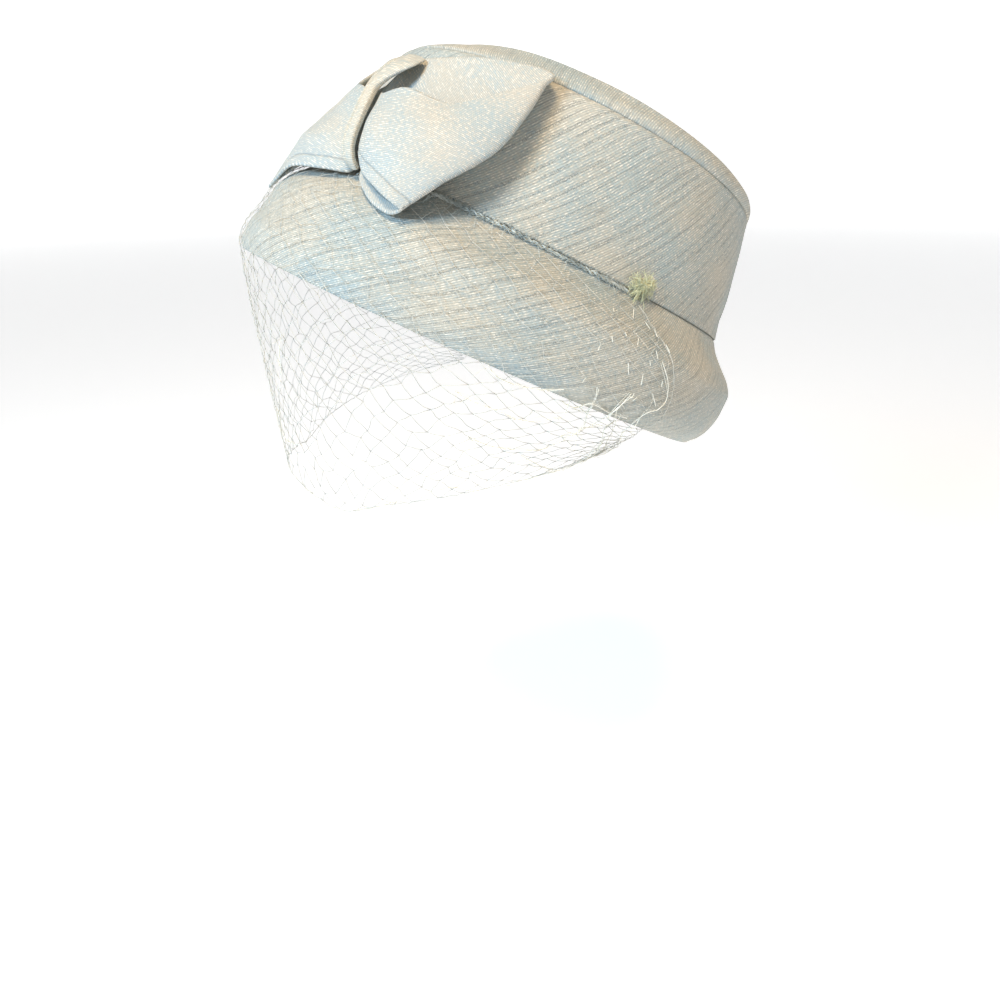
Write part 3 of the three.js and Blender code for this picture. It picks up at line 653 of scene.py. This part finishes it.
# Stray strands that the photo shows, as places in the photo that lie on the net
STRAY = [
    [(664, 362), (668, 382), (667, 400), (658, 408), (646, 414), (633, 424), (624, 432), (618, 446),
     (614, 460), (608, 472), (596, 478), (570, 481), (548, 488), (530, 500)],
    [(487, 366), (500, 378), (520, 386), (544, 389), (565, 389)],
    [(453, 390), (470, 400), (499, 412), (520, 420), (539, 421), (556, 420), (565, 416), (570, 400)],
    [(466, 436), (484, 444), (504, 449), (524, 451), (541, 449), (562, 441), (582, 430), (602, 420),
     (617, 409), (633, 394)],
    [(430, 492), (452, 488), (480, 492), (506, 486), (532, 491), (560, 486)],
    [(290, 508), (306, 512), (326, 514), (345, 510), (370, 508), (398, 500), (430, 497)],
    [(281, 335), (279, 352), (280, 372), (279, 390)],
    [(270, 410), (272, 424), (280, 438), (290, 443), (300, 445)],
    [(560, 400), (576, 408), (592, 404), (610, 414), (628, 418)],
    [(520, 455), (540, 466), (562, 470), (580, 462), (596, 450), (606, 436)],
    [(575, 470), (590, 460), (600, 446), (604, 430), (616, 420)],
    [(589, 411), (582, 429), (560, 436)],
    [(582, 428), (599, 424), (616, 409), (634, 396)],
    [(572, 409), (589, 411), (599, 390)],
    [(624, 431), (616, 450), (606, 472)],
    [(616, 409), (615, 427), (604, 449)],
]


# Short ends of the net that catch the light on the brim, as first and last place in the photo
GLINTS = [
    [(628, 363), (629, 375)], [(643, 375), (642, 385)], [(650, 361), (650, 365)], [(657, 351), (658, 359)],
    [(653, 394), (655, 406)], [(662, 381), (661, 387)], [(600, 345), (599, 351)], [(612, 337), (613, 342)],
    [(625, 331), (627, 337)], [(639, 339), (638, 346)], [(646, 322), (650, 328)], [(634, 309), (633, 318)],
    [(614, 308), (615, 312)], [(586, 378), (583, 383)], [(634, 393), (631, 398)], [(637, 397), (633, 401)],
    [(622, 415), (618, 421)], [(598, 388), (596, 396)], [(655, 330), (657, 336)], [(668, 345), (672, 351)],
]


def make_strays():
    """Loose and pulled threads, laid on the net where the photo shows them."""
    glint_radius, pair_radii, branch_radius = 0.16, (0.19, 0.1), 0.11
    share, along = np.linspace(-0.2, 1, 260), np.linspace(0, 1, 200)
    grid = veil_point(*np.meshgrid(share, along, indexing="ij"), 1.6).reshape(-1, 3)
    px, depth = photo_px(worn(grid))
    gen = np.random.default_rng(5)
    lines, radii = [], []
    for line in STRAY + GLINTS:
        route = []
        for u, v in line:
            # of the places on the net that show at this pixel, the one nearest the camera
            d = np.hypot(px[:, 0] - u, px[:, 1] - v)
            near = np.where(d < d.min() + 4)[0]
            route.append(grid[near[np.argmin(depth[near] + d[near] * 0.002)]])
        route = np.array(route)
        base = catmull(route, np.linspace(0, 1, 14 * len(route)))
        if len(line) == 2:
            lines.append(base)
            radii.append(glint_radius)
            continue
        for spread, radius in zip((0.5, 1.6), pair_radii):
            wobble = catmull(gen.normal(0, 0.4, (max(5, len(route)), 3)), np.linspace(0, 1, len(base)))
            lines.append(base + wobble * spread)
            radii.append(radius)
        # short branches, as torn meshes
        for _ in range(len(route) // 2):
            k = gen.integers(3, len(base) - 3)
            way = gen.normal(0, 1, 3)
            way[2] = -abs(way[2])
            way = unit(way)
            size = gen.uniform(3, 9)
            t = np.linspace(0, 1, 8)[:, None]
            bend = gen.normal(0, 1.4, 3)
            lines.append(base[k] + way * size * t + bend * t * (1 - t) * 2.4)
            radii.append(branch_radius)
    return strands("veil_stray_threads", lines, radii)


def make_cord():
    """Gathered edge of the net: two plies twisted together along the seam, with small gathers."""
    steps = 1100
    place, stand, lay, ply_radius, ply_off = 0.065, 1.25, 6.4, 0.34, 0.46
    gathered, fibres, along = 150, 620, np.linspace(0, 1, 6)
    reach = TUFT_TURN - np.radians(3)
    turn = np.linspace(-reach, reach, steps)
    drop = np.full(steps, place)
    base = brim_face(drop, turn, np.full(steps, stand))
    length = np.concatenate([[0], np.cumsum(np.linalg.norm(np.diff(base, axis=0), axis=1))])
    out = unit(base - brim_face(drop, turn, np.zeros(steps)))
    side = np.cross(unit(np.gradient(base, axis=0)), out)
    lines = []
    gen = np.random.default_rng(9)
    thick = 1 + 0.22 * catmull(gen.normal(0, 1, (60, 1)), np.linspace(0, 1, steps))[:, 0]
    for ply in range(2):
        a = 2 * np.pi * length / lay + ply * np.pi
        r = (ply_off * thick)[:, None]
        lines.append(base + r * (np.cos(a)[:, None] * out + np.sin(a)[:, None] * side))
    cord = strands("veil_cord_plies", lines, ply_radius, sides=6)
    # gathers: threads of the net that come up to the cord
    gathers = []
    for _ in range(gathered):
        s = gen.uniform(-0.99, 0.99) * reach
        d = np.linspace(place + 0.01, gen.uniform(0.125, 0.17), 6)
        lean = gen.normal(0, 0.012)
        g = brim_face(d, s + lean * along, np.linspace(1.7, 0.75, 6))
        gathers.append(g + gen.normal(0, 0.06, g.shape))
    # fibres pulled across the cord
    for _ in range(fibres):
        s = gen.uniform(-0.995, 0.995) * reach
        span = gen.uniform(0.006, 0.022)
        d = place + gen.normal(0, 0.010)
        d = d + gen.choice([-1, 1]) * np.linspace(-0.02, 0.02, 6) * gen.uniform(0.3, 1)
        over = 1.35 + 0.75 * np.sin(np.linspace(0, np.pi, 6))
        g = brim_face(np.clip(d, 0.03, 1), s + span * np.linspace(-1, 1, 6), over)
        gathers.append(g + gen.normal(0, 0.05, g.shape))
    return cord, strands("veil_gathers", gathers, 0.1)


def make_tuft(name, side, seed):
    """Loose thread ends, bound in the middle."""
    gen = np.random.default_rng(seed)
    turn = side * TUFT_TURN
    over_seam, off_seam, clear = 0.35, 2.1, 0.45
    seat = crown_face(np.float64(BRIM_DEPTH + over_seam), np.float64(turn), np.float64(0))
    out = unit(seat * LEVEL)
    up = np.array([0, 0, 1.0])
    along = np.cross(up, out)
    centre = seat + out * off_seam
    lines, radii = [], []
    loose, looped, hanging, binding = 230, 26, 9, 16  # threads of each sort
    hanging_radius, binding_radius, binding_step = 0.09, 0.16, 0.13
    least = seat @ out + clear

    def keep_out(line):
        """Never inside the crown or the brim."""
        return line + out * np.maximum(0, least - line @ out)[:, None]

    for _ in range(loose):
        way = gen.uniform(0, 2 * np.pi)
        # more threads lie along the seam and hang down than stand up
        direction = unit(along * np.cos(way) * 1.5 + up * (np.sin(way) * 0.85 - 0.28))
        size = gen.uniform(2.6, 7.6)
        t = np.linspace(0, 1, 9)[:, None]
        start = centre + gen.normal(0, 1.0, 3) * np.array([1, 1, 0.8]) * 0.7
        lift = out * (0.8 * np.sin(np.pi * t) * gen.uniform(-0.6, 0.9))
        curl = gen.normal(0, 1.9, 3) * t * (1 - t) * 2
        sag = up * (-1.6 * t**2 * gen.uniform(0, 1))
        lines.append(keep_out(start + direction * size * t + lift + curl + sag))
        radii.append(gen.uniform(0.07, 0.15))
    # a bundle of open loops to one side, brighter because it faces the light
    for _ in range(looped):
        a = np.linspace(0, np.pi, 12)[:, None]
        reach, wide, lean = gen.uniform(4.5, 7.4), gen.uniform(0.4, 1.1), gen.uniform(0.05, 0.75)
        way = along * np.cos(lean) + up * np.sin(lean)
        across = np.cross(out, way)
        loop = centre + way * (reach * np.sin(a)) + across * (wide * np.cos(a)) + out * gen.uniform(-0.6, 0.7)
        lines.append(keep_out(loop))
        radii.append(gen.uniform(0.1, 0.16))
    # ends that hang down over the brim
    for _ in range(hanging):
        t = np.linspace(0, 1, 9)[:, None]
        size = gen.uniform(6.5, 9.5)
        line = centre + (up * -1 + along * gen.uniform(-0.7, 0.5)) * size * t + out * (0.35 + 0.42 * size * t)
        lines.append(line + gen.normal(0, 1.0, 3) * t * (1 - t) * 2)
        radii.append(hanging_radius)
    for k in range(binding):
        a = np.linspace(0, 2 * np.pi, 14)
        r = 1.2 + gen.normal(0, 0.12)
        tilt = gen.normal(0, 0.5, 3)
        ring = centre + r * (np.cos(a)[:, None] * (up + 0.2 * tilt) + np.sin(a)[:, None] * out * 0.75)
        lines.append(keep_out(ring + along * (k - binding / 2) * binding_step))
        radii.append(binding_radius)
    return strands(name, lines, radii, taper=0.8)


# Materials

# colours of the cloth's cool and warm threads; a dark colour for the slub lines and hairs that also paints
# shade into the hollows between the ribs and along the hem's stitches; and the pale colour of painted glints
# on the ribs
COOL, WARM, DARK_THREAD_AND_SHADE, GLINT = (0.39, 0.46, 0.46), (0.56, 0.52, 0.43), (0.11, 0.135, 0.14), (0.88, 0.86, 0.78)
WAVE_TURNS = np.pi / 10  # a wave node of scale 1 has 10 / pi bands in a unit
# lengths in metres: heights of the bumps, distance between slub lines, width of the bow's ribs, and
# distance of the hem's stitches from the edge
CLOTH_RELIEF, THREAD_RELIEF, SLUB_STEP, BOW_PITCH, HEM = 0.00025, 0.0001, 0.0039, 0.00066, 0.004
FINE_WAVER, SLUB_WAVER, CROSS_TURN = 160.0, 30.0, 1.3  # waver of the ribs and lines, turn of the cross ribs
STITCHES = 360.0  # hem stitches in a metre


def nodes_of(name):
    mat = bpy.data.materials.new(name)
    mat.use_nodes = True
    mat.node_tree.nodes.clear()
    return mat, mat.node_tree


def feed(tree, socket, value):
    """Links another node's output to the input socket, or sets a plain value on it."""
    if isinstance(value, bpy.types.NodeSocket):
        tree.links.new(value, socket)
    else:
        socket.default_value = value


def add(tree, kind, **values):
    """New node. A value goes to the node's property of that name, or else to its input."""
    node = tree.nodes.new(kind)
    for key, value in values.items():
        if hasattr(node, key):
            setattr(node, key, value)
        else:
            feed(tree, node.inputs[key.replace("_", " ")], value)
    return node


def math(tree, operation, a, b=None, clamp=False):
    node = add(tree, "ShaderNodeMath", operation=operation, use_clamp=clamp)
    feed(tree, node.inputs[0], a)
    if b is not None:
        feed(tree, node.inputs[1], b)
    return node.outputs[0]


def times(tree, a, b):
    return math(tree, "MULTIPLY", a, b)


def plus(tree, a, b):
    return math(tree, "ADD", a, b)


def minus(tree, a, b, clamp=False):
    return math(tree, "SUBTRACT", a, b, clamp)


def vector_math(tree, operation, a, b):
    node = add(tree, "ShaderNodeVectorMath", operation=operation)
    feed(tree, node.inputs[0], a)
    feed(tree, node.inputs["Scale" if operation == "SCALE" else 1], b)
    return node.outputs[0]


def mix(tree, share, low, high):
    """Colour between low and high, each of them a socket or a plain colour."""
    node = add(tree, "ShaderNodeMix", data_type="RGBA")
    for k, value in ((0, share), (6, low), (7, high)):
        feed(tree, node.inputs[k], (*value, 1) if isinstance(value, tuple) else value)
    return node.outputs[2]


def ramp(tree, value, low, high):
    """0 below low, 1 above high, smooth between them."""
    node = add(tree, "ShaderNodeMapRange", interpolation_type="SMOOTHSTEP", Value=value,
               From_Min=low, From_Max=high)
    return node.outputs["Result"]


def turned(tree, source, angle):
    return add(tree, "ShaderNodeMapping", Vector=source, Rotation=(0, 0, angle)).outputs[0]


def stretched(tree, source, angle, along, across, seed):
    """Noise drawn out along the threads. along and across are cells in a metre."""
    place = add(tree, "ShaderNodeMapping", Vector=turned(tree, source, angle),
                Location=(seed, seed * 0.37, 0), Scale=(along, across, 1))
    noise = add(tree, "ShaderNodeTexNoise", noise_dimensions="2D", Vector=place.outputs[0],
                Scale=1.0, Detail=1.0, Roughness=0.5)
    return noise.outputs["Fac"]


def ribs(tree, source, angle, step, distort, detail):
    """Waves across the given direction, one to a step in metres."""
    wave = add(tree, "ShaderNodeTexWave", wave_type="BANDS", bands_direction="Y", wave_profile="SIN",
               Vector=turned(tree, source, angle), Scale=WAVE_TURNS / step, Distortion=distort,
               Detail=1.0, Detail_Scale=detail)
    return wave.outputs["Fac"]


def thin_line(tree, source, level, width):
    """1 where the source is at the level, 0 further than the width from it."""
    away = math(tree, "ABSOLUTE", minus(tree, source, level))
    return minus(tree, 1.0, ramp(tree, away, *width), clamp=True)


def show(tree, shader):
    add(tree, "ShaderNodeOutputMaterial", Surface=shader.outputs[0])


def show_relief(tree, bsdf, height, strength, distance):
    """Adds the bump and the material's output."""
    bump = add(tree, "ShaderNodeBump", Strength=strength, Distance=distance, Height=height)
    tree.links.new(bump.outputs[0], bsdf.inputs["Normal"])
    show(tree, bsdf)


def cloth_material(name, grain, cool=COOL, warm=WARM, pitch=0.00095, lines=0.5, hem=None, strength=0.6):
    """Slubbed twill: fine ribs along the grain, short bright dashes, two thread colours and thin dark
    slub lines, with painted glints where the dashes ride over the rib tops and painted shade in the
    hollows between the ribs and in the stitched hem. grain is the threads' direction on the cloth,
    pitch the width of a rib, lines how dark the slub lines are, hem the distance of the stitches
    from the edge."""
    mat, tree = nodes_of(name)
    uv = add(tree, "ShaderNodeUVMap", uv_map="cloth").outputs["UV"]
    # slow warp, so that the threads don't run dead straight
    waver = add(tree, "ShaderNodeTexNoise", noise_dimensions="2D", Vector=uv, Scale=14.0, Detail=1.0)
    off = vector_math(tree, "SUBTRACT", waver.outputs["Color"], (0.5, 0.5, 0.5))
    p = vector_math(tree, "ADD", uv, vector_math(tree, "SCALE", off, 0.0035))

    rib = ribs(tree, p, grain, pitch, 0.9, FINE_WAVER)
    cross = ribs(tree, p, grain + CROSS_TURN, 1.3 * pitch, 1.4, FINE_WAVER)
    dash = stretched(tree, p, grain, 620, 1500, 3.0)
    line = ramp(tree, ribs(tree, p, grain, SLUB_STEP, 3.2, SLUB_WAVER), 0.94, 1.0)
    hair = thin_line(tree, stretched(tree, p, grain, 22, 520, 5.0), 0.5, (0.0, 0.04))
    breaks = ramp(tree, stretched(tree, p, grain, 40, 240, 9.0), 0.36, 0.56)
    blotch = add(tree, "ShaderNodeTexNoise", noise_dimensions="2D", Vector=p, Scale=26.0, Detail=3.0,
                 Roughness=0.6)

    share = plus(tree, times(tree, dash, 0.55), times(tree, blotch.outputs["Fac"], 0.6))
    base = mix(tree, ramp(tree, share, 0.36, 0.74), cool, warm)
    # painted highlight: bright glints where a slub rides over the tops of the ribs
    painted_glint = times(tree, ramp(tree, dash, 0.54, 0.7), ramp(tree, rib, 0.35, 0.9))
    base = mix(tree, times(tree, painted_glint, 0.7), base, GLINT)
    # darker along the slub lines and hairs, the cloth's own dark threads, and painted shade in the hollows
    # between the ribs and between the cross ribs
    for dark in (
        times(tree, times(tree, line, breaks), lines),
        times(tree, hair, 0.45 * lines),
        times(tree, minus(tree, 1.0, rib), 0.36),
        times(tree, minus(tree, 1.0, cross), 0.1),
    ):
        base = mix(tree, dark, base, DARK_THREAD_AND_SHADE)
    height = plus(tree, times(tree, rib, 0.5), times(tree, cross, 0.25))
    height = minus(tree, height, times(tree, line, 0.6 * lines))
    height = plus(tree, height, times(tree, dash, 0.6))
    if hem is not None:
        part = add(tree, "ShaderNodeSeparateXYZ", Vector=uv)
        stitch = thin_line(tree, part.outputs["Y"], hem, (0.00015, 0.0006))
        beat = math(tree, "FRACT", times(tree, part.outputs["X"], STITCHES))
        gap = ramp(tree, math(tree, "ABSOLUTE", minus(tree, beat, 0.5)), 0.1, 0.3)
        height = minus(tree, height, times(tree, stitch, plus(tree, 1.2, gap)))
        # painted shade in the stitched groove of the hem
        base = mix(tree, times(tree, stitch, 0.32), base, DARK_THREAD_AND_SHADE)
    bsdf = add(tree, "ShaderNodeBsdfPrincipled", Base_Color=base,
               Roughness=plus(tree, 0.58, times(tree, dash, 0.2)), Sheen_Weight=0.12, Sheen_Roughness=0.4,
               Sheen_Tint=(1.0, 0.93, 0.8, 1), Specular_IOR_Level=0.28)
    show_relief(tree, bsdf, height, strength, CLOTH_RELIEF)
    return mat


def thread_material(name, low, high):
    """Spun thread: colour that changes along it, with a fine bump."""
    mat, tree = nodes_of(name)
    where = add(tree, "ShaderNodeTexCoord").outputs["Object"]
    slow = add(tree, "ShaderNodeTexNoise", Vector=where, Scale=120.0, Detail=3.0).outputs["Fac"]
    fibre = add(tree, "ShaderNodeTexNoise", Vector=where, Scale=700.0, Detail=2.0).outputs["Fac"]
    share = ramp(tree, plus(tree, times(tree, slow, 0.6), times(tree, fibre, 0.4)), 0.35, 0.65)
    bsdf = add(tree, "ShaderNodeBsdfPrincipled", Base_Color=mix(tree, share, low, high),
               Roughness=plus(tree, 0.5, times(tree, fibre, 0.25)), Sheen_Weight=0.3,
               Specular_IOR_Level=0.3)
    show_relief(tree, bsdf, fibre, 0.4, THREAD_RELIEF)
    return mat


crown_mat = cloth_material("crown_twill", np.radians(-48), lines=0.7)
tip_mat = cloth_material("tip_twill", np.radians(35), lines=0.4)
brim_mat = cloth_material("brim_twill", np.radians(-40), lines=0.62)
bow_mat = cloth_material("bow_twill", np.radians(-18), (0.40, 0.48, 0.5), (0.57, 0.53, 0.45),
                         pitch=BOW_PITCH, lines=0.1, hem=HEM, strength=0.5)
knot_mat = cloth_material("knot_twill", np.radians(4), (0.42, 0.48, 0.47), (0.62, 0.56, 0.45),
                          pitch=BOW_PITCH, lines=0.1, strength=0.5)
net_mat = thread_material("net_thread", (0.40, 0.41, 0.37), (0.60, 0.59, 0.53))
# a paler copy of the net's thread: painted highlight for the loose threads and the short ends that catch the
# light
painted_highlight_stray_mat = thread_material("stray_thread_painted_highlight", (0.62, 0.60, 0.50), (0.88, 0.86, 0.77))
cord_mat = thread_material("cord_thread", (0.24, 0.29, 0.29), (0.62, 0.65, 0.60))
tuft_mat = thread_material("tuft_thread", (0.36, 0.40, 0.25), (0.78, 0.76, 0.50))


# Pieces

def piece(obj, material, nodes=()):
    """Gives the object its material and slot, and names the solids that it replaces."""
    obj.data.materials.append(material)
    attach(obj, "root")
    if nodes:
        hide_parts(*nodes)
    return obj


crown_obj, tip_obj = make_crown()
brim_obj = make_brim()
piece(crown_obj, crown_mat, ["crown_side"])
piece(tip_obj, tip_mat, ["crown_tip"])
piece(brim_obj, brim_mat, ["brim"])
left_obj = piece(make_loop("bow_loop_left_cloth", LEFT_LOOP, LEFT_DRAPE, 1, 41, 0.0),
                 bow_mat, ["bow_loop_left"])
right_obj = piece(make_loop("bow_loop_right_cloth", RIGHT_LOOP, RIGHT_DRAPE, -1, 43, 0.55),
                  bow_mat, ["bow_loop_right"])
piece(make_knot(), knot_mat, ["bow_knot"])
net_obj, net_knots = make_net()
piece(net_obj, net_mat, ["veil_net"])
piece(net_knots, net_mat)
piece(make_strays(), painted_highlight_stray_mat)
cord_obj, gather_obj = make_cord()
piece(cord_obj, cord_mat, ["veil_cord"])
piece(gather_obj, cord_mat)
piece(make_tuft("veil_tuft_left_threads", 1, 61), tuft_mat, ["veil_tuft_left"])
piece(make_tuft("veil_tuft_right_threads", -1, 67), tuft_mat, ["veil_tuft_right"])


# Stage, light and camera

FLOOR_GLOW, WORLD_LIGHT, FLOOR_ROUGH = 0.57, 0.18, 0.9
LIGHT_SIZE, LIGHT_AIM = 0.4, Vector((0, 0, 0.05))


def make_stage():
    """Pale round floor, metres wide, that sweeps up into a low plain wall far from the hat."""
    reach, bend, height, sides, middle = 9.0, 1.6, 3.2, 96, 0.01
    profile = [(r, 0.0) for r in np.linspace(middle, reach - bend, 10)]
    for a in np.linspace(0, np.pi / 2, 14)[1:]:
        profile.append((reach - bend * (1 - np.sin(a)), bend * (1 - np.cos(a))))
    profile.append((reach, height))
    turns = [2 * np.pi * k / sides for k in range(sides)]
    verts = [(d * np.cos(turn), d * np.sin(turn), FLOOR_Z + h) for d, h in profile for turn in turns]
    faces = grid_faces(len(profile) - 1, sides, sides, wrap=True)
    faces.append(tuple(range(sides))[::-1])
    obj = new_object("floor", verts, faces)
    mat, tree = nodes_of("pale_floor")
    noise = add(tree, "ShaderNodeTexNoise", Scale=3.0)
    paint = mix(tree, times(tree, noise.outputs["Fac"], 0.02), (0.93, 0.93, 0.93), (0.9, 0.91, 0.92))
    bsdf = add(tree, "ShaderNodeBsdfPrincipled", Base_Color=paint, Roughness=FLOOR_ROUGH)
    glow = add(tree, "ShaderNodeEmission", Strength=FLOOR_GLOW)
    both = add(tree, "ShaderNodeAddShader")
    tree.links.new(bsdf.outputs[0], both.inputs[0])
    tree.links.new(glow.outputs[0], both.inputs[1])
    show(tree, both)
    obj.data.materials.append(mat)


def area_light(name, place, power, color):
    """Round soft light beside the camera, aimed at the crown. place is left, up and back from it."""
    left, up, back = place
    spot = CAM_PLACE - CAM_RIGHT * left + Vector((0, 0, up)) - CAM_FORWARD * back
    data = bpy.data.lights.new(name, "AREA")
    data.shape = "DISK"
    data.size = LIGHT_SIZE
    data.energy = power
    data.color = color
    obj = bpy.data.objects.new(name, data)
    bpy.context.scene.collection.objects.link(obj)
    obj.location = spot
    obj.rotation_euler = (LIGHT_AIM - spot).to_track_quat("-Z", "Y").to_euler()


make_stage()
area_light("window_cool", (0.8, 0.25, 0.5), 15.0, (0.46, 0.73, 1.0))
area_light("lamp_warm", (0.15, 0.85, 0.2), 13.2, (1.0, 0.74, 0.46))

world = bpy.data.worlds.new("studio")
bpy.context.scene.world = world
world.use_nodes = True
sky = world.node_tree.nodes["Background"]
sky.inputs["Color"].default_value = (0.96, 0.98, 1.0, 1)
sky.inputs["Strength"].default_value = WORLD_LIGHT

cam_data = bpy.data.cameras.new("photo_camera")
cam_data.sensor_width = SENSOR
cam_data.lens = CAM_FOCAL_PX / PHOTO_PX * SENSOR
cam_data.clip_start = 0.01
cam = bpy.data.objects.new("photo_camera", cam_data)
bpy.context.scene.collection.objects.link(cam)
right = CAM_FORWARD.cross(CAM_UP).normalized()
upward = right.cross(CAM_FORWARD).normalized()
basis = Matrix((right, upward, -CAM_FORWARD.normalized())).transposed().to_4x4()
basis.translation = CAM_PLACE
cam.matrix_world = basis
bpy.context.scene.camera = cam
view = bpy.context.scene.view_settings
view.view_transform, view.look, view.exposure = "Standard", "None", 0.0
